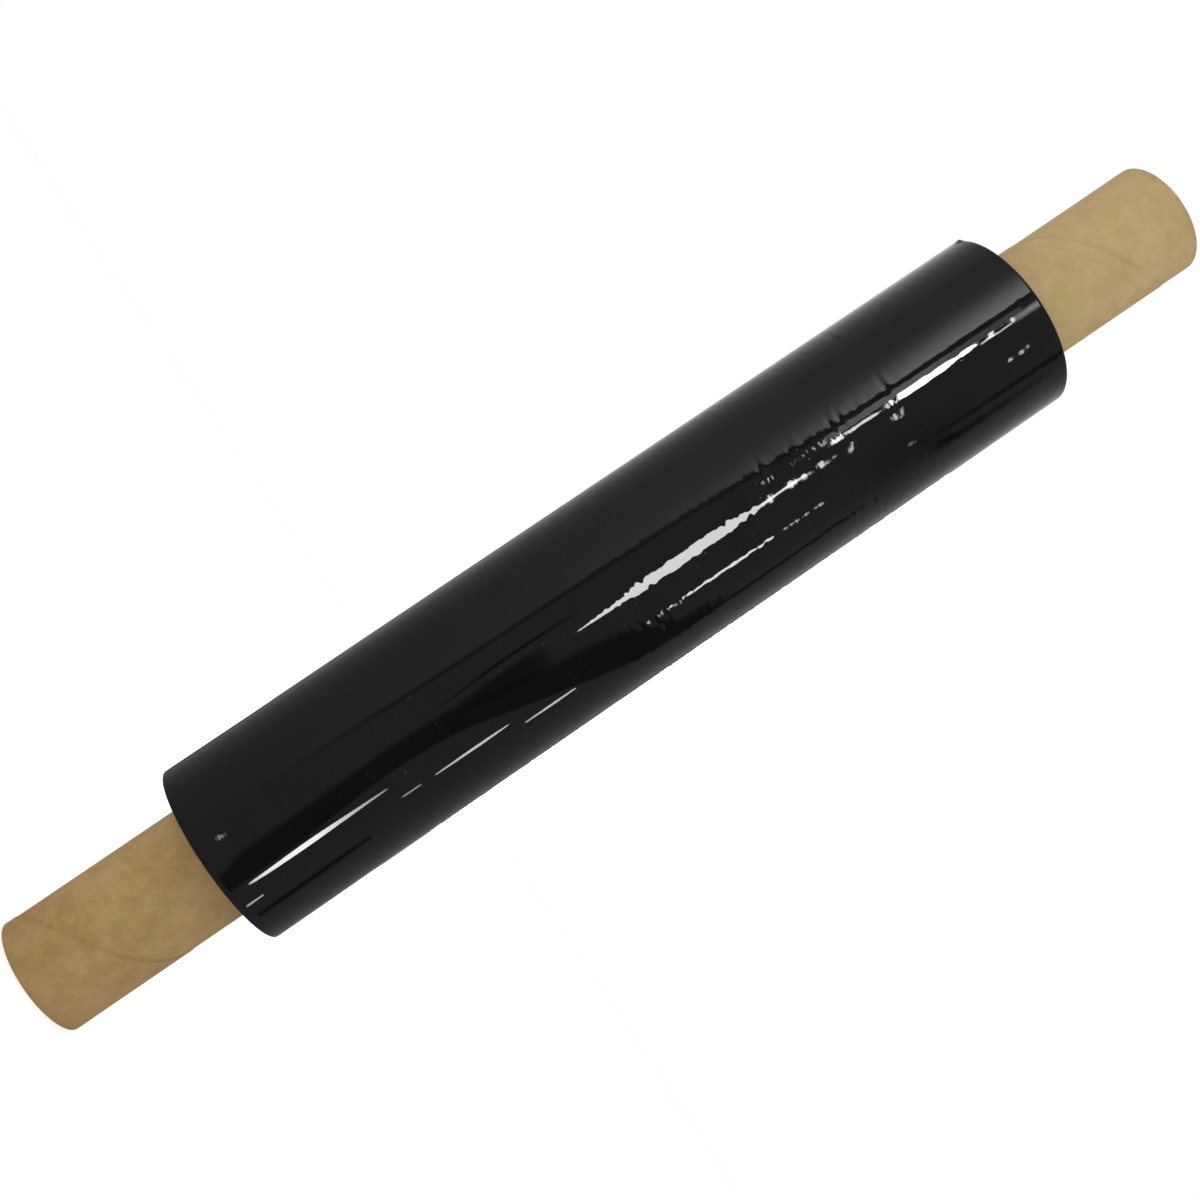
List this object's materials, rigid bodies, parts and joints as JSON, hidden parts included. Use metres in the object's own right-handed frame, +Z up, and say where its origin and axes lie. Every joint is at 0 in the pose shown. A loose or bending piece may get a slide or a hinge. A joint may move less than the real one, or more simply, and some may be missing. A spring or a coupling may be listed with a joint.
{
  "type": "stretch wrap roll",
  "caption": "Roll of black stretch film wound on a longer spiral-wound paperboard core, whose bare ends are the hand grips.",
  "frame": {"origin": "centre of the core's foot rim, on the surface that the roll stands on", "axes": "+Z up along the core's axis, from the foot grip to the head grip; -Y towards the side that the picture shows"},
  "size_m": [0.0814, 0.0815, 0.568],
  "materials": {
    "core_tube": "matt kraft paper",
    "film_roll": "high gloss black film"
  },
  "bodies": {
    "root": {"core_tube": "core_tube", "film_roll": "film_roll"}
  },
  "joints": []
}
